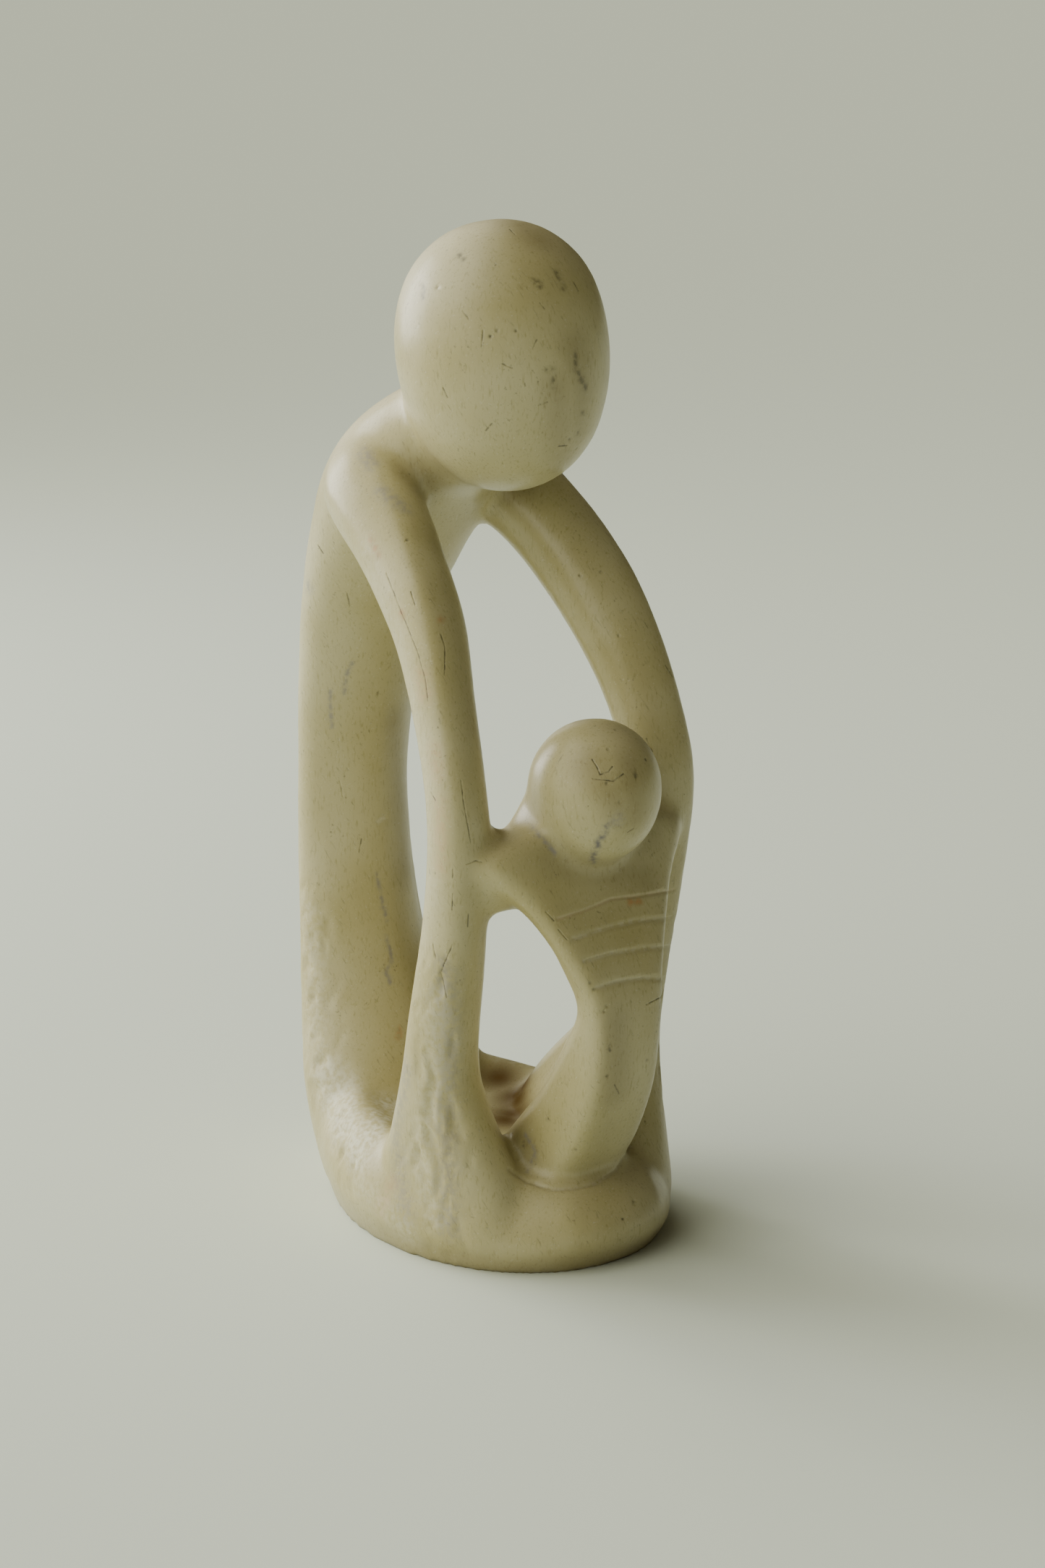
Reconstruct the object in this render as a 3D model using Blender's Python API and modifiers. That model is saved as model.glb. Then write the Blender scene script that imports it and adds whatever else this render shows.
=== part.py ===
# Carved soapstone figure: a parent bent over a child, cut from one block of stone.
# Metres, +Z up. The child faces -Y and the parent's back is at +Y.
# The origin is on the flat underside, in the middle of the figure.

import math

import bmesh
import bpy
from mathutils import Vector

# The one real size of the free form: underside to the top of the parent's head.
HEIGHT = 0.220

# How finely the rough form is worked, and how far the joins between limbs are rounded.
WORKING_GRAIN = HEIGHT / 200.0
ROUNDING_PASSES = 8
ROUNDING_STRENGTH = 0.5
FACET_COUNT = 9600

# Rings along a limb between two stations, points round a ring, and the grid of a head.
RINGS_PER_SPAN = 6
RING_POINTS = 36
HEAD_MERIDIANS = 48
HEAD_PARALLELS = 32

STONE_COLOUR = (0.47, 0.43, 0.28, 1.0)
STONE_ROUGHNESS = 0.42
STONE_METALLIC = 0.0

# Every place and half width below is a share of the height.
# The base is an oval drum: how far out its skin stands, as a share of the half widths,
# at each level, from under the ground plane up over the rim and into the shallow bowl.
BASE_HALF_WIDTH = 0.158
BASE_HALF_DEPTH = 0.211
BASE_CENTRE_Y = 0.015
BASE_EGG = -0.10
BASE_PROFILE = [
    (0.86, -0.050),
    (0.925, 0.000),
    (1.00, 0.042),
    (0.985, 0.080),
    (0.90, 0.112),
    (0.76, 0.126),
    (0.60, 0.114),
    (0.35, 0.102),
]
# The rim sinks from the parent's back to the child's foot.
BASE_DIP = 0.38
# A soft groove runs down the base on each side of the child's foot, this many degrees
# round from the front.
FRONT_TURN = 270.0
GROOVE_TURN = 38.0
GROOVE_SPREAD = 11.0
GROOVE_DEPTH = 0.095
GROOVE_START = 0.020
GROOVE_FULL = 0.100

# A station is (x, y, z), half width across, reach of the section to its fore and to its aft
# side, heading of the width in degrees, and squareness of the fore and of the aft side:
# 2 is an ellipse, less is a blunt ridge, more is boxier. Stations run upwards, or towards +X.
BACK_STATIONS = [
    ((0.000, 0.130, 0.030), 0.112, 0.076, 0.074, 0.0, 2.1, 2.2),
    ((0.000, 0.178, 0.110), 0.104, 0.074, 0.062, 0.0, 1.8, 2.2),
    ((0.000, 0.216, 0.210), 0.080, 0.060, 0.046, 0.0, 1.6, 2.2),
    ((0.000, 0.235, 0.340), 0.068, 0.052, 0.038, 0.0, 1.6, 2.2),
    ((0.000, 0.233, 0.460), 0.067, 0.050, 0.038, 0.0, 1.6, 2.2),
    ((0.000, 0.212, 0.580), 0.075, 0.056, 0.049, 0.0, 1.7, 2.2),
    ((0.000, 0.175, 0.670), 0.086, 0.064, 0.062, 0.0, 1.9, 2.2),
    ((0.000, 0.132, 0.740), 0.094, 0.068, 0.068, 0.0, 2.2, 2.2),
    ((0.000, 0.078, 0.784), 0.078, 0.062, 0.062, 0.0, 2.2, 2.2),
    ((0.000, 0.020, 0.800), 0.056, 0.056, 0.056, 0.0, 2.2, 2.2),
]

# The arm on the side x < 0, with a ridge along its outer front; the other arm is the same
# with x reversed.
ARM_STATIONS = [
    ((-0.092, -0.022, 0.040), 0.060, 0.118, 0.104, 0.0, 2.2, 2.2),
    ((-0.102, -0.026, 0.110), 0.050, 0.096, 0.044, 0.0, 2.1, 2.2),
    ((-0.114, -0.043, 0.190), 0.038, 0.056, 0.025, -10.0, 1.9, 2.2),
    ((-0.120, -0.064, 0.265), 0.035, 0.040, 0.025, -25.0, 1.7, 2.2),
    ((-0.125, -0.084, 0.350), 0.031, 0.033, 0.033, -40.0, 1.6, 2.2),
    ((-0.128, -0.093, 0.450), 0.030, 0.033, 0.032, -45.0, 1.6, 2.2),
    ((-0.123, -0.070, 0.540), 0.030, 0.034, 0.034, -45.0, 1.6, 2.2),
    ((-0.109, -0.027, 0.625), 0.036, 0.042, 0.042, -45.0, 1.6, 2.2),
    ((-0.096, 0.036, 0.695), 0.041, 0.044, 0.044, -35.0, 1.6, 2.2),
    ((-0.076, 0.100, 0.738), 0.048, 0.050, 0.044, -15.0, 1.8, 2.2),
    ((-0.030, 0.130, 0.745), 0.056, 0.050, 0.050, 0.0, 2.2, 2.2),
]
# The far arm was left a little further forward, and fuller beside the child's head.
FAR_ARM_FORWARD = 0.003
FAR_ARM_SWELL = 0.12
SWELL_LEVEL = 0.490
SWELL_SPREAD = 0.080
# Its foot also runs further back over the base.
FAR_ARM_FLARE = 0.7
FLARE_LEVEL = 0.110
FLARE_SPREAD = 0.060

TORSO_STATIONS = [
    ((0.000, -0.072, 0.080), 0.056, 0.044, 0.038, 0.0, 3.0, 2.2),
    ((0.000, -0.094, 0.110), 0.054, 0.056, 0.034, 0.0, 4.0, 2.4),
    ((0.000, -0.126, 0.152), 0.049, 0.054, 0.030, 0.0, 5.0, 2.6),
    ((0.000, -0.160, 0.208), 0.045, 0.040, 0.032, 0.0, 6.0, 2.8),
    ((0.000, -0.180, 0.265), 0.045, 0.020, 0.024, 0.0, 6.0, 3.0),
    ((0.000, -0.168, 0.325), 0.068, 0.014, 0.034, 0.0, 5.0, 1.8),
    ((0.000, -0.147, 0.372), 0.094, 0.016, 0.044, 0.0, 5.0, 1.8),
    ((0.000, -0.119, 0.413), 0.129, 0.034, 0.042, 0.0, 2.5, 2.2),
    ((0.000, -0.110, 0.440), 0.070, 0.038, 0.038, 0.0, 2.2, 2.2),
    ((0.000, -0.114, 0.466), 0.050, 0.034, 0.034, 0.0, 2.0, 2.0),
]

SHOULDER_STATIONS = [
    ((-0.120, -0.089, 0.404), 0.030, 0.058, 0.052, 90.0, 2.0, 2.0),
    ((-0.066, -0.100, 0.394), 0.034, 0.038, 0.036, 90.0, 2.0, 2.0),
    ((0.000, -0.114, 0.402), 0.042, 0.050, 0.052, 90.0, 2.2, 2.2),
    ((0.066, -0.100, 0.394), 0.034, 0.038, 0.036, 90.0, 2.0, 2.0),
    ((0.120, -0.089, 0.404), 0.030, 0.058, 0.052, 90.0, 2.0, 2.0),
]

# A head is (x, y, z), half width across, half depth, height above and below its widest
# place, forward lean in degrees and squareness.
PARENT_HEAD = ((0.000, -0.006, 0.884), 0.103, 0.103, 0.117, 0.142, -9.0, 2.14)
CHILD_HEAD = ((0.000, -0.143, 0.472), 0.065, 0.065, 0.068, 0.073, 0.0, 2.0)

# The block that takes away all stone below the ground plane.
CUT_HALF_WIDTH = 0.4
CUT_DEPTH = 0.2


def clear_scene():
    for thing in list(bpy.data.objects):
        bpy.data.objects.remove(thing, do_unlink=True)


def rounded(turn, squareness):
    """Point of a unit superellipse: squareness 2 is a circle, more is boxier."""
    power = 2.0 / squareness
    across = math.copysign(abs(math.cos(turn)) ** power, math.cos(turn))
    along = math.copysign(abs(math.sin(turn)) ** power, math.sin(turn))
    return across, along


def smooth_between(before, start, end, after, part):
    """Catmull-Rom value at a part (0 to 1) of the span from start to end."""
    return 0.5 * (
        2.0 * start
        + (end - before) * part
        + (2.0 * before - 5.0 * start + 4.0 * end - after) * part ** 2
        + (3.0 * start - before - 3.0 * end + after) * part ** 3
    )


def spread_stations(rows):
    """Fill in rows between the given ones along smooth curves."""
    spread = []
    last = len(rows) - 1
    for index in range(last):
        near = (rows[max(index - 1, 0)], rows[index], rows[index + 1], rows[min(index + 2, last)])
        for step in range(RINGS_PER_SPAN):
            part = step / RINGS_PER_SPAN
            spread.append([smooth_between(*values, part) for values in zip(*near)])
    spread.append(rows[-1])
    return spread


def add_skin(mesh, rings):
    """Join rings of points, each with RING_POINTS corners, into one closed skin."""
    loops = [[mesh.verts.new(point * HEIGHT) for point in ring] for ring in rings]
    for lower, upper in zip(loops, loops[1:]):
        for step in range(RING_POINTS):
            after = (step + 1) % RING_POINTS
            mesh.faces.new((lower[step], lower[after], upper[after], upper[step]))
    mesh.faces.new(list(reversed(loops[0])))
    mesh.faces.new(loops[-1])


def ring_turns():
    return [2.0 * math.pi * step / RING_POINTS for step in range(RING_POINTS)]


def groove(turn, level):
    """Share of the base's reach that is left by the groove beside the child's foot."""
    off_front = abs(math.degrees(turn) - FRONT_TURN)
    fade = min(max((level - GROOVE_START) / (GROOVE_FULL - GROOVE_START), 0.0), 1.0)
    return 1.0 - GROOVE_DEPTH * fade * math.exp(-((off_front - GROOVE_TURN) / GROOVE_SPREAD) ** 2)


def add_base(mesh):
    rings = []
    for reach, level in spread_stations(BASE_PROFILE):
        ring = []
        for turn in ring_turns():
            out = reach * groove(turn, level)
            width = out * BASE_HALF_WIDTH * math.cos(turn) * (1.0 + BASE_EGG * math.sin(turn))
            depth = out * BASE_HALF_DEPTH * math.sin(turn)
            dip = 1.0 - BASE_DIP * (0.5 - 0.5 * depth / BASE_HALF_DEPTH)
            ring.append(Vector((width, BASE_CENTRE_Y + depth, level * dip if level > 0.0 else level)))
        rings.append(ring)
    add_skin(mesh, rings)


def add_limb(mesh, stations):
    """Loft one limb through rings that stand square to its path."""
    rows = spread_stations([[*place, *shape] for place, *shape in stations])
    centres = [Vector(row[:3]) for row in rows]
    last = len(rows) - 1
    rings = []
    for index, (row, centre) in enumerate(zip(rows, centres)):
        across, fore, aft, heading, fore_squareness, aft_squareness = row[3:]
        along = (centres[min(index + 1, last)] - centres[max(index - 1, 0)]).normalized()
        sideways = Vector((math.cos(math.radians(heading)), math.sin(math.radians(heading)), 0.0))
        sideways = (sideways - along * sideways.dot(along)).normalized()
        backward = along.cross(sideways)
        ring = []
        for turn in ring_turns():
            on_aft = math.sin(turn) > 0.0
            width, depth = rounded(turn, aft_squareness if on_aft else fore_squareness)
            reach = aft if on_aft else fore
            ring.append(centre + sideways * width * across + backward * depth * reach)
        rings.append(ring)
    add_skin(mesh, rings)


def far_arm():
    """The same arm on the other side of the figure, with its own small differences."""
    stations = []
    for (x, y, z), across, fore, aft, heading, *squareness in ARM_STATIONS:
        swell = 1.0 + FAR_ARM_SWELL * math.exp(-((z - SWELL_LEVEL) / SWELL_SPREAD) ** 2)
        flare = 1.0 + FAR_ARM_FLARE * math.exp(-((z - FLARE_LEVEL) / FLARE_SPREAD) ** 2)
        place = (-x, y - FAR_ARM_FORWARD, z)
        reaches = (across * swell, fore * swell, aft * swell * flare)
        stations.append((place, *reaches, -heading, *squareness))
    return stations


def add_head(mesh, head):
    """A plain egg of a head, leaning about the line through its ears."""
    place, across, deep, above, below, lean, squareness = head
    slope = math.radians(lean)
    power = 2.0 / squareness
    made = bmesh.ops.create_uvsphere(
        mesh, u_segments=HEAD_MERIDIANS, v_segments=HEAD_PARALLELS, radius=1.0
    )
    for vert in made["verts"]:
        x, y, z = vert.co
        level = math.copysign(abs(z) ** power, z)
        reach = math.hypot(x, y)
        girth = reach ** power / reach if reach > 0.0 else 0.0
        point = Vector((x * across * girth, y * deep * girth, level * (above if z > 0.0 else below)))
        leaning = Vector((
            point.x,
            point.y * math.cos(slope) - point.z * math.sin(slope),
            point.y * math.sin(slope) + point.z * math.cos(slope),
        ))
        vert.co = (leaning + Vector(place)) * HEIGHT


def stone_material():
    material = bpy.data.materials.new("Soapstone")
    material.use_nodes = True
    shader = material.node_tree.nodes["Principled BSDF"]
    shader.inputs["Base Color"].default_value = STONE_COLOUR
    shader.inputs["Roughness"].default_value = STONE_ROUGHNESS
    shader.inputs["Metallic"].default_value = STONE_METALLIC
    return material


def rough_figure(collection):
    """All the limbs and heads of the figure as overlapping skins in one object."""
    mesh = bmesh.new()
    add_base(mesh)
    add_limb(mesh, BACK_STATIONS)
    add_limb(mesh, ARM_STATIONS)
    add_limb(mesh, far_arm())
    add_limb(mesh, TORSO_STATIONS)
    add_limb(mesh, SHOULDER_STATIONS)
    add_head(mesh, PARENT_HEAD)
    add_head(mesh, CHILD_HEAD)
    bmesh.ops.recalc_face_normals(mesh, faces=mesh.faces)
    data = bpy.data.meshes.new("soapstone_figure")
    mesh.to_mesh(data)
    mesh.free()
    figure = bpy.data.objects.new("soapstone_figure", data)
    collection.objects.link(figure)
    return figure


def ground_cutter(collection):
    """A block under the ground plane, whose top face makes the flat underside."""
    mesh = bmesh.new()
    bmesh.ops.create_cube(mesh, size=1.0)
    span = Vector((2.0 * CUT_HALF_WIDTH, 2.0 * CUT_HALF_WIDTH, CUT_DEPTH)) * HEIGHT
    bmesh.ops.scale(mesh, vec=span, verts=mesh.verts)
    bmesh.ops.translate(mesh, vec=Vector((0.0, 0.0, -0.5 * CUT_DEPTH * HEIGHT)), verts=mesh.verts)
    data = bpy.data.meshes.new("ground_cutter")
    mesh.to_mesh(data)
    mesh.free()
    cutter = bpy.data.objects.new("ground_cutter", data)
    cutter.display_type = "WIRE"
    cutter.hide_render = True
    collection.objects.link(cutter)
    return cutter


def triangle_count(thing):
    """Triangles in the object as its modifiers leave it so far."""
    graph = bpy.context.evaluated_depsgraph_get()
    made = thing.evaluated_get(graph).data
    return sum(len(face.vertices) - 2 for face in made.polygons)


def carve(figure, cutter):
    """Fuse the limbs into one stone, round the joins, coarsen the facets and cut the foot flat."""
    fuse = figure.modifiers.new("fuse", "REMESH")
    fuse.mode = "VOXEL"
    fuse.voxel_size = WORKING_GRAIN
    rounding = figure.modifiers.new("rounding", "SMOOTH")
    rounding.factor = ROUNDING_STRENGTH
    rounding.iterations = ROUNDING_PASSES
    coarsen = figure.modifiers.new("coarsen", "DECIMATE")
    coarsen.ratio = FACET_COUNT / triangle_count(figure)
    flatten = figure.modifiers.new("flat_underside", "BOOLEAN")
    flatten.operation = "DIFFERENCE"
    flatten.solver = "EXACT"
    flatten.object = cutter


def new_collection(name):
    collection = bpy.data.collections.new(name)
    bpy.context.scene.collection.children.link(collection)
    return collection


def main():
    clear_scene()
    parts = new_collection("soapstone sculpture")
    cutters = new_collection("cutters")
    figure = rough_figure(parts)
    figure.data.materials.append(stone_material())
    carve(figure, ground_cutter(cutters))


main()
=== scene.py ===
# Soapstone figure of a parent bent over a child: the stone's own surface, and a plain studio round it.
import math

import bmesh
import bpy
from mathutils import Euler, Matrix, Vector, kdtree, noise
from mathutils.bvhtree import BVHTree


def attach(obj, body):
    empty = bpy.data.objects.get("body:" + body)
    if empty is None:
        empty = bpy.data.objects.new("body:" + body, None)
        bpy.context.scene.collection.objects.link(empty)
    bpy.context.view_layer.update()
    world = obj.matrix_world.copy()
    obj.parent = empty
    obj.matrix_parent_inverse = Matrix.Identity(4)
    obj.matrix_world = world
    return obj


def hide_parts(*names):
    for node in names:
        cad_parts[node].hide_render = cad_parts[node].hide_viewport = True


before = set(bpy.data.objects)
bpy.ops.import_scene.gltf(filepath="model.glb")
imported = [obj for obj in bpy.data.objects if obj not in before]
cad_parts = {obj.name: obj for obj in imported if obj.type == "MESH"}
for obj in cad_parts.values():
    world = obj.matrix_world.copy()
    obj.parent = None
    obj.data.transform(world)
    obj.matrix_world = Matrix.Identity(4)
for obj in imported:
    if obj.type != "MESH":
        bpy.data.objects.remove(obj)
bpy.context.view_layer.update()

mm = 0.001

# The photograph is 1445 x 2168 pixels. Marks are placed by its pixels and then sit on the stone.
photo = {"width": 1445, "height": 2168}
view = {
    "place": Vector((-0.4243, -0.5056, 0.2662)),
    "turn": (math.radians(75.76), 0.0, math.radians(-40.457)),
    "lens": 71.8,
    "sensor": 36.0,
    "clip": 0.01,
}

stone = {
    "rounds": 2,            # subdivision levels that take the facets away
    "mergeGap": 0.01,       # mm, points of the CAD mesh closer than this are one point
    "rimHeight": 0.1,       # mm, an edge below this lies in the underside
    "rimAngle": 0.5,        # radians, an edge of the underside sharper than this stays crisp
    "grain": 1.06,          # mm between points on plain skin
    "settle": 4,            # smoothing passes after that
    "rub": 0.5,             # strength of each pass
    "swell": 0.05,          # mm the skin stands out first, to make up for the rubbing
    "handDepth": 0.16,      # mm, slow unevenness left by file and sandpaper
    "handSpan": 13.0,       # mm across one such hollow
    "chatterDepth": 0.03,   # mm, small facets of the last rubbing
    "chatterSpan": 3.2,     # mm
    "crustDepth": 0.95,     # mm, relief of the weathered rind that was left unpolished
    "crustSpan": 2.8,       # mm across one wrinkle
    "crustRun": 0.45,       # share of that rate along the height: the wrinkles run upright
    "crustBed": 0.22,       # noise level where a wrinkle's side meets the plain skin
    "hiddenGap": 1.5,       # mm of stone before a point that count as hiding it
    "sampling": 0.3,        # share of a mark's half width between the points along it
    "fineSteps": (1.0, 0.5, 0.25),  # near fine marks the grain is halved once per step
    "fineShare": 0.8,       # a mark is fine where this share of its half width is under the step's grain
    "fineReach": 0.35,      # mm from a fine mark, at least, that are halved
    "fineSpread": 0.6,      # mm more at the first step, less at the later ones
    "footDepth": 0.35,      # mm, points below this lie flat on the table
}

# Every mark: routes in photo pixels, half width and cut in mm, and what it does to the stone's tone.
marks = {
    "incisedLine": {
        "halfWidth": 0.70, "cut": 0.30, "chalk": 0.40,
        "routes": [
            [(792, 1299), (832, 1285), (878, 1273), (927, 1269)],
            [(808, 1329), (846, 1318), (895, 1311), (927, 1308)],
            [(825, 1366), (853, 1357), (888, 1352), (922, 1353)],
        ],
    },
    "faintLine": {
        "halfWidth": 0.60, "cut": 0.20, "chalk": 0.22, "rust": 0.30,
        "routes": [
            [(771, 1271), (808, 1259), (846, 1243), (888, 1238), (931, 1231)],
        ],
    },
    "footCrease": {
        "halfWidth": 0.75, "cut": 0.42, "chalk": 0.36,
        "routes": [
            [(704, 1617), (727, 1632), (762, 1644), (793, 1643), (824, 1636), (852, 1617), (872, 1585)],
        ],
    },
    "crack": {
        "halfWidth": 0.24, "cut": 0.10, "dark": 0.9,
        "routes": [
            [(534, 793), (545, 820), (555, 847), (561, 860), (578, 902), (588, 938), (592, 969)],
            [(568, 818), (574, 836)],
            [(609, 877), (615, 894), (615, 933)],
            [(596, 1096), (602, 1107)],
            [(638, 1079), (641, 1107), (645, 1129), (651, 1165)],
            [(645, 1195), (658, 1190), (666, 1192)],
            [(626, 1202), (626, 1214)],
            [(626, 1236), (625, 1258)],
            [(648, 1264), (647, 1281)],
            [(755, 1261), (766, 1273)],
            [(772, 1285), (784, 1299)],
            [(923, 1337), (920, 1365), (912, 1389), (911, 1411)],
            [(894, 1389), (916, 1377)],
            [(626, 1306), (609, 1345), (618, 1379)],
            [(599, 1306), (603, 1325)],
        ],
    },
    "scratch": {
        "halfWidth": 0.26, "cut": 0.12, "dark": 1.0,
        "routes": [
            [(819, 1050), (825, 1059), (830, 1071), (842, 1067), (847, 1060)],
            [(820, 1077), (840, 1079), (848, 1080), (862, 1070)],
            [(773, 617), (784, 616)],
            [(440, 754), (447, 765)],
            [(868, 1151), (876, 1146)],
        ],
    },
    "pit": {
        "halfWidth": 0.60, "cut": 0.16, "dark": 0.95, "mirrored": True,
        "routes": [
            [(678, 465)], [(687, 457)], [(713, 457)], [(605, 398)], [(797, 620)], [(788, 607)],
            [(563, 747)], [(841, 1036)], [(851, 1009)], [(893, 1050)], [(857, 1109)], [(839, 1083)],
            [(843, 1446), (844, 1452)], [(839, 1488)], [(895, 1466)], [(835, 1398)], [(758, 1547)],
            [(724, 1578)], [(724, 1584)], [(796, 1589)], [(876, 1661)], [(861, 1685)], [(816, 1359)],
            [(821, 1368)], [(839, 1391)], [(523, 958)], [(879, 1068), (879, 1074)], [(831, 791)],
            [(856, 879)], [(802, 796)], [(926, 929)],
        ],
    },
    "nick": {
        "halfWidth": 0.30, "cut": 0.06, "dark": 0.75, "mirrored": True,
        "routes": [
            [(705, 317), (712, 324)], [(793, 390), (800, 402)], [(668, 457), (666, 479)],
            [(695, 503), (708, 509)], [(613, 536), (619, 549)], [(747, 419), (753, 427)],
            [(672, 595), (680, 586)], [(742, 470), (737, 482)], [(640, 430), (648, 441)],
            [(777, 1044), (771, 1055)], [(894, 1021), (902, 1039)], [(745, 560), (757, 556)],
            [(890, 858), (896, 868)], [(920, 920), (930, 936)], [(480, 820), (484, 838)],
            [(470, 1080), (474, 1101)], [(500, 1160), (497, 1178)], [(850, 1500), (856, 1512)],
        ],
    },
    "smudge": {
        "halfWidth": 1.1, "cut": 0.03, "dark": 0.70, "mirrored": True,
        "routes": [
            [(738, 388), (747, 390)], [(747, 396)], [(769, 375), (779, 399)], [(635, 352), (640, 358)],
            [(585, 398), (585, 412)], [(757, 511), (763, 510)], [(766, 522), (766, 533)],
            [(796, 491), (795, 506), (802, 522), (810, 537)], [(805, 571)], [(799, 598)],
            [(879, 1071)],
        ],
    },
    "chip": {
        "halfWidth": 0.80, "cut": 0.20, "chalk": 0.9,
        "routes": [
            [(522, 1136), (533, 1130)],
        ],
    },
    "purpleVein": {
        "halfWidth": 1.2, "cut": 0.02, "grey": 1.0, "dark": 0.4,
        "routes": [
            [(839, 1142), (834, 1154), (827, 1166), (821, 1181), (821, 1193)],
        ],
    },
    "greyVein": {
        "halfWidth": 0.9, "cut": 0.02, "grey": 0.75,
        "routes": [
            [(457, 956), (456, 973), (459, 1005)],
            [(488, 916), (478, 936), (476, 959)],
            [(522, 1207), (526, 1237), (535, 1272)],
            [(534, 1295), (542, 1325), (534, 1345), (540, 1360)],
            [(735, 1144), (756, 1166), (769, 1181)],
            [(727, 1569), (741, 1594), (729, 1620)],
        ],
    },
    "greyBlotch": {
        "halfWidth": 3.0, "cut": 0.0, "grey": 0.55, "mirrored": True,
        "routes": [
            [(503, 625), (513, 643)], [(528, 680), (562, 703)], [(427, 812)], [(854, 1135)],
            [(612, 1330), (612, 1380)],
        ],
    },
    "rustStain": {
        "halfWidth": 1.2, "cut": 0.0, "rust": 0.9, "brown": 0.25,
        "routes": [
            [(513, 747)], [(518, 758)], [(523, 767)], [(552, 1424), (552, 1434)], [(555, 847), (558, 852)],
            [(870, 1247), (885, 1246)], [(610, 857)],
        ],
    },
    "pinkStain": {
        "halfWidth": 3.6, "cut": 0.0, "rust": 0.40, "mirrored": True,
        "routes": [
            [(542, 1636), (526, 1674)], [(600, 1040), (604, 1070)], [(607, 1110), (609, 1200)],
            [(582, 935), (586, 960)],
        ],
    },
    # pale cream along the near arm's left face, which faces the light: partly the stone's tone, partly
    # painted light
    "creamAndPaintedLight": {
        "halfWidth": 5.0, "cut": 0.0, "chalk": 0.16, "mirrored": True,
        "routes": [
            [(500, 760), (545, 860), (578, 980), (600, 1100), (602, 1250)],
        ],
    },
    # brown in the hollow between the near column and the child's foot: partly stain, partly painted shade
    "hollowStainAndShade": {
        "halfWidth": 10.0, "cut": 0.0, "brown": 0.95,
        "routes": [
            [(690, 1490), (712, 1515), (699, 1548)], [(725, 1500), (708, 1540)],
        ],
    },
    "shoulderShade": {
        "halfWidth": 8.0, "cut": 0.0, "brown": 0.22, "mirrored": True,
        "routes": [
            [(574, 650), (590, 700), (600, 745)],
        ],
    },
    # browner tone over the parent's head, the child's head, the web, the torso front and the column's right
    # side: partly patina, partly painted shade where the light reaches less
    "patinaAndShade": {
        "halfWidth": 7.0, "cut": 0.0, "brown": 0.26, "mirrored": True,
        "routes": [
            [(796, 480), (806, 540), (800, 600)], [(770, 540), (780, 640)], [(870, 1060), (880, 1130)],
            [(815, 1060), (850, 1110)], [(760, 1185), (890, 1212)], [(850, 1420), (852, 1510)],
            [(548, 1000), (560, 1200)], [(700, 300), (740, 330)],
        ],
    },
    "chalkPatch": {
        "halfWidth": 7.0, "cut": 0.0, "chalk": 0.85, "mirrored": True,
        "routes": [
            [(470, 1500), (482, 1550), (496, 1600)], [(535, 1530), (500, 1592)], [(450, 1480), (470, 1560)],
        ],
    },
    "dustPatch": {
        "halfWidth": 6.0, "cut": 0.0, "chalk": 0.35, "mirrored": True,
        "routes": [
            [(426, 1260), (434, 1340), (440, 1450)], [(604, 1380), (598, 1500), (580, 1600), (600, 1680)],
            [(500, 1640), (560, 1700)],
        ],
    },
    "greyCrust": {
        "halfWidth": 5.0, "cut": 0.0, "grey": 0.42, "mirrored": True,
        "routes": [
            [(618, 1350), (622, 1450), (618, 1550), (620, 1700)], [(560, 1480), (545, 1560), (560, 1680)],
        ],
    },
    "rind": {
        "halfWidth": 9.0, "cut": 0.0, "rind": 1.0, "mirrored": True,
        "routes": [
            [(424, 1230), (428, 1340), (438, 1450), (455, 1540), (480, 1620)],
            [(600, 1330), (596, 1440), (585, 1540), (575, 1640)],
            [(625, 1400), (622, 1520), (615, 1640), (620, 1720)],
        ],
    },
}
tones = ("chalk", "dark", "grey", "rust", "brown", "rind")


def linear(hexColour):
    # sRGB hex to the linear colour that a shader reads
    parts = [int(hexColour[at:at + 2], 16) / 255.0 for at in (1, 3, 5)]
    return [c / 12.92 if c <= 0.04045 else ((c + 0.055) / 1.055) ** 2.4 for c in parts] + [1.0]


def photoRay(pixel):
    # direction from the camera through a pixel of the photograph
    focal = view["lens"] / view["sensor"] * photo["height"]
    across = (pixel[0] - photo["width"] / 2.0) / focal
    down = (pixel[1] - photo["height"] / 2.0) / focal
    return (Euler(view["turn"]).to_matrix() @ Vector((across, -down, -1.0))).normalized()


def routeOnStone(route, step, skin):
    # points on the stone, about one step apart, along a route of photo pixels
    pixelSize = view["place"].length / (view["lens"] / view["sensor"] * photo["height"])
    found = []
    for start, end in zip(route, route[1:] + route[-1:]):
        span = Vector(end) - Vector(start)
        count = max(int(span.length * pixelSize / step), 1)
        for index in range(count):
            pixel = Vector(start) + span * (index / count)
            hit = skin.ray_cast(view["place"], photoRay(pixel))[0]
            if hit:
                found.append(hit)
    return found


def onHiddenSide(points, skin):
    # the same points across the figure, where the photograph doesn't show the stone
    found = []
    for point in points:
        across = skin.find_nearest(Vector((-point.x, point.y, point.z)))[0]
        sight = across - view["place"]
        seen = skin.ray_cast(view["place"], sight.normalized())[3]
        if seen is not None and sight.length - seen > stone["hiddenGap"] * mm:
            found.append(across)
    return found


def layMarks(skin):
    # every mark's points on the stone, route by route
    laid = {}
    for name, mark in marks.items():
        step = stone["sampling"] * mark["halfWidth"] * mm
        laid[name] = [routeOnStone(route, step, skin) for route in mark["routes"]]
        if mark.get("mirrored"):
            laid[name] += [onHiddenSide(points, skin) for points in laid[name]]
    return laid


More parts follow.
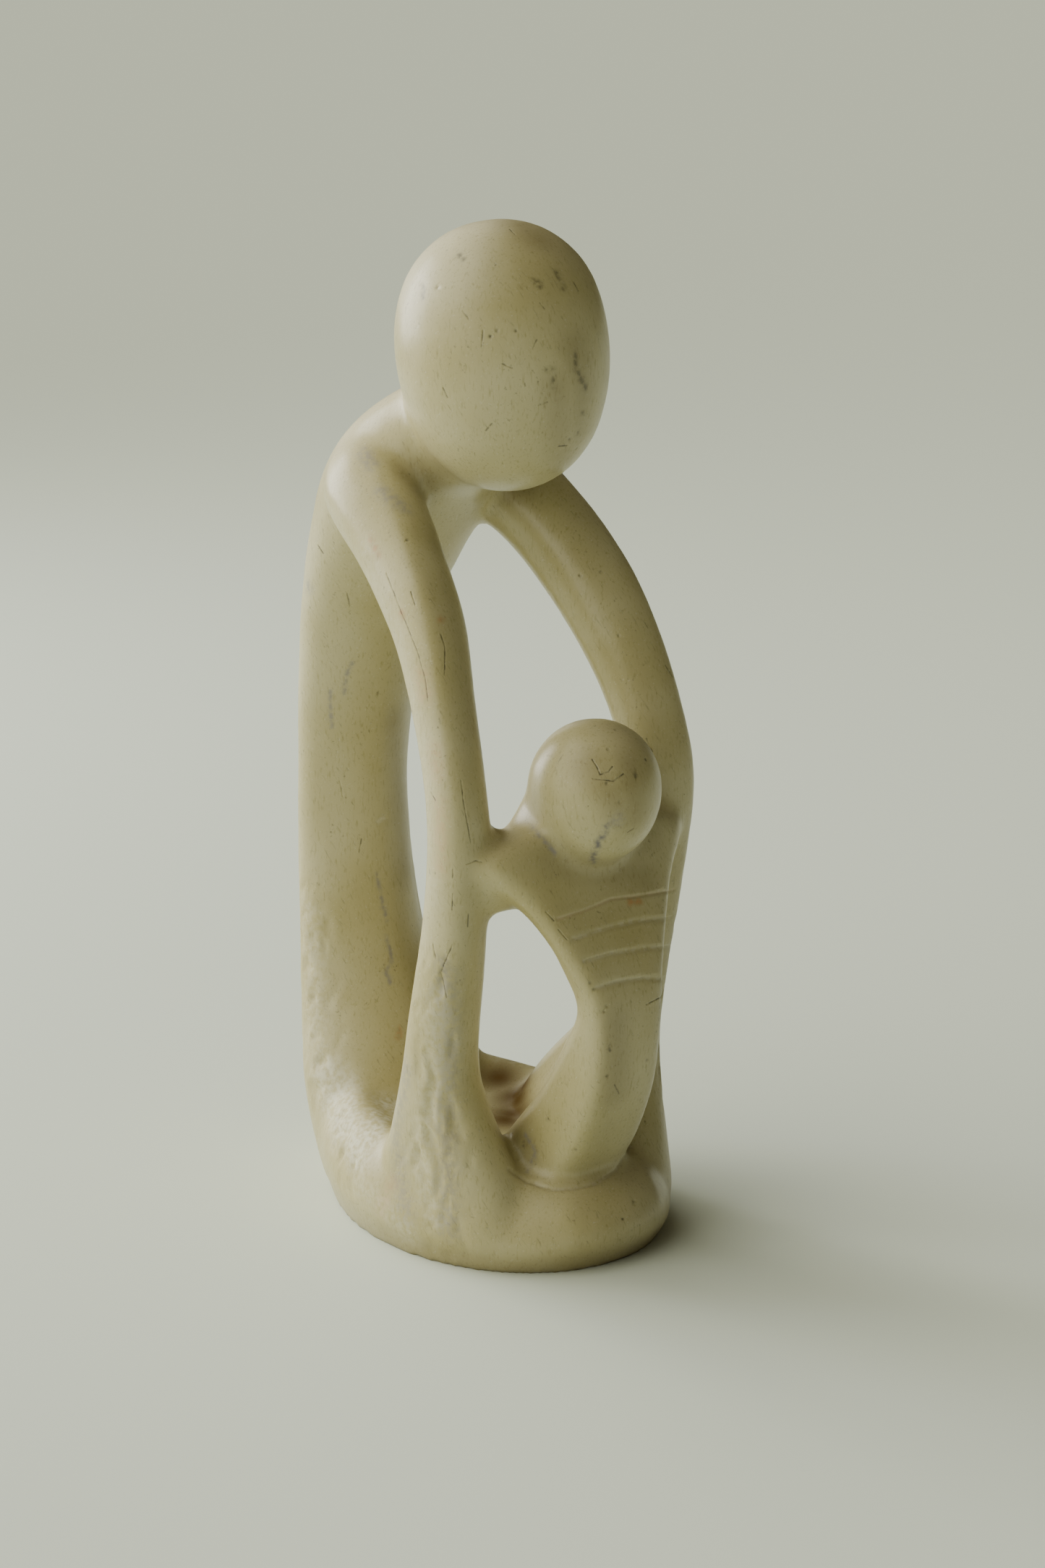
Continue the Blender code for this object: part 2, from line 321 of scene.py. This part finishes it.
def smoothCopy(node):
    # a fine, even skin over a copy of the CAD stone
    mesh = bmesh.new()
    mesh.from_mesh(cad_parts[node].data)
    bmesh.ops.remove_doubles(mesh, verts=mesh.verts, dist=stone["mergeGap"] * mm)
    crease = mesh.edges.layers.float.new("crease_edge")
    for edge in mesh.edges:
        onRim = max(vert.co.z for vert in edge.verts) < stone["rimHeight"] * mm
        if onRim and edge.calc_face_angle(0.0) > stone["rimAngle"]:
            edge[crease] = 1.0
    data = bpy.data.meshes.new("carvedStone")
    mesh.to_mesh(data)
    mesh.free()
    piece = bpy.data.objects.new("carvedStone", data)
    bpy.context.scene.collection.objects.link(piece)
    soften = piece.modifiers.new("soften", "SUBSURF")
    soften.levels = stone["rounds"]
    soften.render_levels = stone["rounds"]
    remesh = piece.modifiers.new("evenSkin", "REMESH")
    remesh.mode = "VOXEL"
    remesh.voxel_size = stone["grain"] * mm
    swell = piece.modifiers.new("swell", "DISPLACE")
    swell.strength = stone["swell"] * mm
    swell.mid_level = 0.0
    rub = piece.modifiers.new("rub", "SMOOTH")
    rub.factor = stone["rub"]
    rub.iterations = stone["settle"]
    ready = piece.evaluated_get(bpy.context.evaluated_depsgraph_get())
    finished = bpy.data.meshes.new_from_object(ready)
    piece.modifiers.clear()
    piece.data = finished
    bpy.data.meshes.remove(data)
    return piece


def refine(mesh, points, reach):
    # halve the edges that run close to these points
    tree = kdtree.KDTree(len(points))
    for index, point in enumerate(points):
        tree.insert(point, index)
    tree.balance()
    close = [edge for edge in mesh.edges
             if tree.find((edge.verts[0].co + edge.verts[1].co) / 2.0)[2] < reach]
    bmesh.ops.subdivide_edges(mesh, edges=close, cuts=1, use_grid_fill=True)


def carveSkin(piece):
    # finer mesh at the marks, then their cuts, the hand's unevenness and the rind
    mesh = bmesh.new()
    mesh.from_mesh(piece.data)
    skin = BVHTree.FromBMesh(mesh)
    laid = layMarks(skin)
    for level in stone["fineSteps"]:
        fine = [point for name, mark in marks.items()
                if mark["halfWidth"] * stone["fineShare"] < level * stone["grain"]
                for route in laid[name] for point in route]
        if fine:
            refine(mesh, fine, (stone["fineReach"] + stone["fineSpread"] * level) * mm)
    bmesh.ops.triangulate(mesh, faces=mesh.faces)
    mesh.normal_update()
    mesh.verts.ensure_lookup_table()
    print("skin:", len(mesh.verts), "points,", len(mesh.faces), "triangles")

    tree = kdtree.KDTree(len(mesh.verts))
    for vert in mesh.verts:
        tree.insert(vert.co, vert.index)
    tree.balance()
    amounts = {tone: [0.0] * len(mesh.verts) for tone in tones}
    cuts = [0.0] * len(mesh.verts)
    for name, mark in marks.items():
        reach = mark["halfWidth"] * mm
        nearest = {}
        for route in laid[name]:
            for point in route:
                for place, index, gap in tree.find_range(point, reach):
                    nearest[index] = min(nearest.get(index, reach), gap)
        for index, gap in nearest.items():
            fade = 1.0 - gap / reach  # eased below, so that a mark has no hard edge
            fade = fade * fade * (3.0 - 2.0 * fade)
            cuts[index] = max(cuts[index], fade * mark["cut"])
            for tone in tones:
                if tone in mark:
                    amounts[tone][index] = max(amounts[tone][index], fade * mark[tone])

    moves = []
    for vert in mesh.verts:
        place = vert.co / mm
        hand = noise.noise(place / stone["handSpan"]) * stone["handDepth"]
        chatter = noise.noise(place / stone["chatterSpan"]) * stone["chatterDepth"]
        rind = amounts["rind"][vert.index]
        crust = 0.0
        if rind > 0.0:
            upright = Vector((place.x, place.y, place.z * stone["crustRun"])) / stone["crustSpan"]
            fold = abs(noise.noise(upright + noise.noise_vector(upright / 2.0)))
            # the noise is seldom past half a unit beyond the bed, so twice that is the full depth
            crust = rind * min(stone["crustBed"] - fold, 0.0) * stone["crustDepth"] * 2.0
        moves.append(vert.normal * (hand + chatter + crust - cuts[vert.index]) * mm)
    for vert, move in zip(mesh.verts, moves):
        vert.co += move
        if vert.co.z < stone["footDepth"] * mm:
            vert.co.z = 0.0
    for face in mesh.faces:
        face.smooth = True
    mesh.to_mesh(piece.data)
    mesh.free()
    for tone in tones:
        layer = piece.data.attributes.new(tone, "FLOAT", "POINT")
        layer.data.foreach_set("value", amounts[tone])


def addNode(tree, kind, settings=None, feeds=None):
    # one node: settings are its own properties or its inputs, feeds are links into it
    node = tree.nodes.new(kind)
    for key, value in (settings or {}).items():
        if isinstance(key, str) and hasattr(node, key):
            setattr(node, key, value)
        else:
            node.inputs[key].default_value = value
    for key, source in (feeds or {}).items():
        tree.links.new(source, node.inputs[key])
    return node


polish = {
    "olive": "#B0A676",         # the stone itself
    "buff": "#BFB78F",          # paler clouds in it
    "shade": "#8E8350",         # fine upright streaks
    "chalk": "#D6D3BE",         # dry stone that took no wax, and the dust in a cut line
    "dark": "#3F3B2B",          # specks, and dirt in scratches and pits
    "grey": "#827E82",          # veins and grey skin
    "rust": "#BC9264",          # iron stain
    "brown": "#57401D",         # old wax and soot in the hollows, and painted shade there and on sides turned from the light
    "ior": 1.54,
    "cloudSpan": 28.0,          # mm across one cloud
    "cloudRange": (0.35, 0.65),
    "streakSpan": 0.5,          # mm, drawn coarser than real file marks so that it shows
    "streakRun": 0.22,          # share of that rate along the height
    "streakRange": (0.56, 0.74),
    "streakAmount": 0.5,
    "speckSpan": 0.8,           # mm
    "speckField": 9.0,          # mm across a patch with more or fewer specks
    "speckFieldRange": (0.4, 0.6),
    "speckFrom": (0.78, 0.64),  # noise level where a speck starts, in a bare and in a busy patch
    "speckEdge": 0.12,
    "speckAmount": 0.5,
    "scuffRate": (2.2, 2.2, 0.28),          # per mm: thin across, long along
    "darkScuffTurn": (0.5, 0.3, 0.2),       # radians
    "paleScuffTurn": (-0.9, 0.5, -0.4),
    "scuffFrom": 0.63, "scuffTo": 0.76, "scuffAmount": 0.32,
    "hollowReach": 14.0,        # mm looked around for stone that closes a place in
    "hollowOpen": 0.75, "hollowClosed": 0.25, "hollowAmount": 0.5,
    "breakSpan": 1.3,           # mm, breaks up the edges of stains and lines
    "breakRange": (0.38, 0.60), "breakLeast": 0.15,
    "gloss": 0.31,              # roughness of waxed stone
    "dull": 0.72,               # roughness of dry stone
    "unevenGloss": (-0.08, 0.12),
    "waxedShine": 0.5,
    "grainSpan": 0.45,          # mm
    "crustSpan": 1.1,           # mm
    "crustLift": 7.0,           # how many times deeper the rind's grain is
    "grainDepth": 0.03,         # mm
    "grainStrength": 0.35,
}


def waxedSoapstone():
    # talc stone, filed, wet sanded and waxed: olive buff, soft sheen, pale and dry where it wasn't polished
    material = bpy.data.materials.new("waxedSoapstone")
    material.use_nodes = True
    tree = material.node_tree
    shader = tree.nodes["Principled BSDF"]
    shader.inputs["IOR"].default_value = polish["ior"]
    place = addNode(tree, "ShaderNodeTexCoord").outputs["Object"]
    toMm = addNode(tree, "ShaderNodeVectorMath", {"operation": "SCALE", "Scale": 1.0 / mm}, {0: place})
    millimetres = toMm.outputs[0]

    # clouds, then fine upright streaks; sockets 6 and 7 are a colour mix's two colours
    cloud = addNode(tree, "ShaderNodeTexNoise", {"Scale": 1.0 / polish["cloudSpan"], "Detail": 3.0},
                    {"Vector": millimetres})
    cloudMix = addNode(tree, "ShaderNodeMapRange", {"From Min": polish["cloudRange"][0],
                                                    "From Max": polish["cloudRange"][1]},
                       {"Value": cloud.outputs["Fac"]})
    tone = addNode(tree, "ShaderNodeMix", {"data_type": "RGBA", 6: linear(polish["olive"]),
                                           7: linear(polish["buff"])}, {0: cloudMix.outputs[0]})
    stretch = addNode(tree, "ShaderNodeMapping", {"Scale": (1.0, 1.0, polish["streakRun"])},
                      {"Vector": millimetres})
    streak = addNode(tree, "ShaderNodeTexNoise", {"Scale": 1.0 / polish["streakSpan"], "Detail": 3.0},
                     {"Vector": stretch.outputs[0]})
    streakMix = addNode(tree, "ShaderNodeMapRange", {"From Min": polish["streakRange"][0],
                                                     "From Max": polish["streakRange"][1],
                                                     "To Max": polish["streakAmount"]},
                        {"Value": streak.outputs["Fac"]})
    tone = addNode(tree, "ShaderNodeMix", {"data_type": "RGBA", 7: linear(polish["shade"])},
                   {0: streakMix.outputs[0], 6: tone.outputs[2]})

    # dark specks, in patches
    speck = addNode(tree, "ShaderNodeTexNoise", {"Scale": 1.0 / polish["speckSpan"], "Detail": 2.0},
                    {"Vector": millimetres})
    field = addNode(tree, "ShaderNodeTexNoise", {"Scale": 1.0 / polish["speckField"], "Detail": 2.0},
                    {"Vector": millimetres})
    speckFrom = addNode(tree, "ShaderNodeMapRange", {"From Min": polish["speckFieldRange"][0],
                                                     "From Max": polish["speckFieldRange"][1],
                                                     "To Min": polish["speckFrom"][0],
                                                     "To Max": polish["speckFrom"][1]},
                        {"Value": field.outputs["Fac"]})
    speckTo = addNode(tree, "ShaderNodeMath", {"operation": "ADD", 1: polish["speckEdge"]},
                      {0: speckFrom.outputs[0]})
    speckMix = addNode(tree, "ShaderNodeMapRange", {"To Max": polish["speckAmount"]},
                       {"Value": speck.outputs["Fac"], "From Min": speckFrom.outputs[0],
                        "From Max": speckTo.outputs[0]})
    tone = addNode(tree, "ShaderNodeMix", {"data_type": "RGBA", 7: linear(polish["dark"])},
                   {0: speckMix.outputs[0], 6: tone.outputs[2]})

    # short scuffs, dark ones one way and pale ones another
    for turn, name in (("darkScuffTurn", "dark"), ("paleScuffTurn", "chalk")):
        turned = addNode(tree, "ShaderNodeMapping", {"Rotation": polish[turn]}, {"Vector": millimetres})
        drawn = addNode(tree, "ShaderNodeMapping", {"Scale": polish["scuffRate"]},
                        {"Vector": turned.outputs[0]})
        scuff = addNode(tree, "ShaderNodeTexNoise", {"Scale": 1.0, "Detail": 2.0},
                        {"Vector": drawn.outputs[0]})
        scuffMix = addNode(tree, "ShaderNodeMapRange", {"From Min": polish["scuffFrom"],
                                                        "From Max": polish["scuffTo"],
                                                        "To Max": polish["scuffAmount"]},
                           {"Value": scuff.outputs["Fac"]})
        tone = addNode(tree, "ShaderNodeMix", {"data_type": "RGBA", 7: linear(polish[name])},
                       {0: scuffMix.outputs[0], 6: tone.outputs[2]})

    # old wax stays in corners that a cloth doesn't reach; this brown, stronger the more closed in a place is,
    # is also painted shade there
    openness = addNode(tree, "ShaderNodeAmbientOcclusion",
                       {"samples": 6, "Distance": polish["hollowReach"] * mm})
    waxAndShade = addNode(tree, "ShaderNodeMapRange", {"From Min": polish["hollowOpen"],
                                               "From Max": polish["hollowClosed"],
                                               "To Max": polish["hollowAmount"]},
                  {"Value": openness.outputs["AO"]})
    tone = addNode(tree, "ShaderNodeMix", {"data_type": "RGBA", 7: linear(polish["brown"])},
                   {0: waxAndShade.outputs[0], 6: tone.outputs[2]})

    # the placed marks, with broken edges on all but the brown
    breakUp = addNode(tree, "ShaderNodeTexNoise", {"Scale": 1.0 / polish["breakSpan"], "Detail": 4.0},
                      {"Vector": millimetres})
    breakMix = addNode(tree, "ShaderNodeMapRange", {"From Min": polish["breakRange"][0],
                                                    "From Max": polish["breakRange"][1],
                                                    "To Min": polish["breakLeast"]},
                       {"Value": breakUp.outputs["Fac"]})
    amounts = {}
    for name in tones:
        amounts[name] = addNode(tree, "ShaderNodeAttribute", {"attribute_name": name}).outputs["Fac"]
    for name in ("brown", "rust", "grey", "chalk", "dark"):
        amount = amounts[name]
        if name != "brown":
            amount = addNode(tree, "ShaderNodeMath", {"operation": "MULTIPLY"},
                             {0: amount, 1: breakMix.outputs[0]}).outputs[0]
        tone = addNode(tree, "ShaderNodeMix", {"data_type": "RGBA", 7: linear(polish[name])},
                       {0: amount, 6: tone.outputs[2]})
    tree.links.new(tone.outputs[2], shader.inputs["Base Color"])

    # waxed stone is glossier than chalky stone and rind, and the brown marks, old wax and soot with painted
    # shade, take the shine away
    dry = addNode(tree, "ShaderNodeMath", {"operation": "MAXIMUM"}, {0: amounts["chalk"], 1: amounts["rind"]})
    rough = addNode(tree, "ShaderNodeMix", {2: polish["gloss"], 3: polish["dull"]}, {0: dry.outputs[0]})
    uneven = addNode(tree, "ShaderNodeMapRange", {"To Min": polish["unevenGloss"][0],
                                                  "To Max": polish["unevenGloss"][1]},
                     {"Value": streak.outputs["Fac"]})
    rough = addNode(tree, "ShaderNodeMath", {"operation": "ADD"}, {0: rough.outputs[0], 1: uneven.outputs[0]})
    tree.links.new(rough.outputs[0], shader.inputs["Roughness"])
    shine = addNode(tree, "ShaderNodeMapRange", {"To Min": polish["waxedShine"], "To Max": 0.0},
                    {"Value": amounts["brown"]})
    tree.links.new(shine.outputs[0], shader.inputs["Specular IOR Level"])

    # fine grain, much deeper in the rind
    grain = addNode(tree, "ShaderNodeTexNoise", {"Scale": 1.0 / polish["grainSpan"], "Detail": 2.0},
                    {"Vector": millimetres})
    lift = addNode(tree, "ShaderNodeMath", {"operation": "ADD"},
                   {0: grain.outputs["Fac"], 1: streak.outputs["Fac"]})
    crust = addNode(tree, "ShaderNodeTexNoise", {"Scale": 1.0 / polish["crustSpan"], "Detail": 4.0},
                    {"Vector": millimetres})
    crustLift = addNode(tree, "ShaderNodeMath", {"operation": "MULTIPLY", 1: polish["crustLift"]},
                        {0: amounts["rind"]})
    lift = addNode(tree, "ShaderNodeMath", {"operation": "MULTIPLY_ADD"},
                   {0: crust.outputs["Fac"], 1: crustLift.outputs[0], 2: lift.outputs[0]})
    bump = addNode(tree, "ShaderNodeBump", {"Strength": polish["grainStrength"],
                                            "Distance": polish["grainDepth"] * mm},
                   {"Height": lift.outputs[0]})
    tree.links.new(bump.outputs[0], shader.inputs["Normal"])
    return material


studio = {
    "floorColour": "#E2EADE",
    "floorSize": 400.0,         # m, so that the far edge is out of the picture
    "floorRoughness": 0.8, "floorShine": 0.0,
    "lightFrom": Vector((-0.68, 0.72, 0.13)).normalized(),
    "lightEdge": (0.06, 0.66), "lightColour": "#F8F6E4", "lightStrength": 2.42,
    "fillColour": "#DCCCA8", "fillStrength": 0.095,
    "softboxFrom": Vector((-0.36, 0.87, 0.32)), "softboxDistance": 1.0, "softboxSize": 0.65,
    "softboxPower": 8.0,
    "target": Vector((0.0, 0.0, 0.12)),
}


def buildStudio():
    # a matte floor, a sky that is bright on one side only, and one softbox for the sheen
    mesh = bmesh.new()
    bmesh.ops.create_grid(mesh, x_segments=1, y_segments=1, size=studio["floorSize"] / 2.0)
    data = bpy.data.meshes.new("floor")
    mesh.to_mesh(data)
    mesh.free()
    floor = bpy.data.objects.new("floor", data)
    bpy.context.scene.collection.objects.link(floor)
    board = bpy.data.materials.new("matteBoard")
    board.use_nodes = True
    shader = board.node_tree.nodes["Principled BSDF"]
    shader.inputs["Base Color"].default_value = linear(studio["floorColour"])
    shader.inputs["Roughness"].default_value = studio["floorRoughness"]
    shader.inputs["Specular IOR Level"].default_value = studio["floorShine"]
    floor.data.materials.append(board)

    world = bpy.data.worlds.new("studioSky")
    bpy.context.scene.world = world
    world.use_nodes = True
    tree = world.node_tree
    sky = tree.nodes["Background"]
    facing = addNode(tree, "ShaderNodeVectorMath", {"operation": "DOT_PRODUCT", 1: studio["lightFrom"]},
                     {0: addNode(tree, "ShaderNodeTexCoord").outputs["Generated"]})
    wash = addNode(tree, "ShaderNodeMapRange", {"interpolation_type": "SMOOTHSTEP",
                                                "From Min": studio["lightEdge"][0],
                                                "From Max": studio["lightEdge"][1]},
                   {"Value": facing.outputs["Value"]})
    bright = [c * studio["lightStrength"] for c in linear(studio["lightColour"])]
    dim = [c * studio["fillStrength"] for c in linear(studio["fillColour"])]
    glow = addNode(tree, "ShaderNodeMix", {"data_type": "RGBA", 6: dim, 7: bright}, {0: wash.outputs[0]})
    tree.links.new(glow.outputs[2], sky.inputs["Color"])

    lamp = bpy.data.lights.new("softbox", "AREA")
    lamp.size = studio["softboxSize"]
    lamp.energy = studio["softboxPower"]
    softbox = bpy.data.objects.new("softbox", lamp)
    softbox.location = studio["target"] + studio["softboxFrom"].normalized() * studio["softboxDistance"]
    softbox.rotation_euler = studio["softboxFrom"].to_track_quat("Z", "Y").to_euler()
    bpy.context.scene.collection.objects.link(softbox)


def placeCamera():
    camera = bpy.data.objects.new("photoCamera", bpy.data.cameras.new("photoCamera"))
    camera.location = view["place"]
    camera.rotation_euler = view["turn"]
    camera.data.lens = view["lens"]
    camera.data.sensor_width = view["sensor"]
    camera.data.clip_start = view["clip"]
    bpy.context.scene.collection.objects.link(camera)
    bpy.context.scene.camera = camera


placeCamera()
buildStudio()
print("studio ready")

figure = smoothCopy("soapstone_figure")
carveSkin(figure)
figure.data.materials.clear()
figure.data.materials.append(waxedSoapstone())
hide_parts("soapstone_figure")
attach(figure, "root")
print("stone carved and waxed")
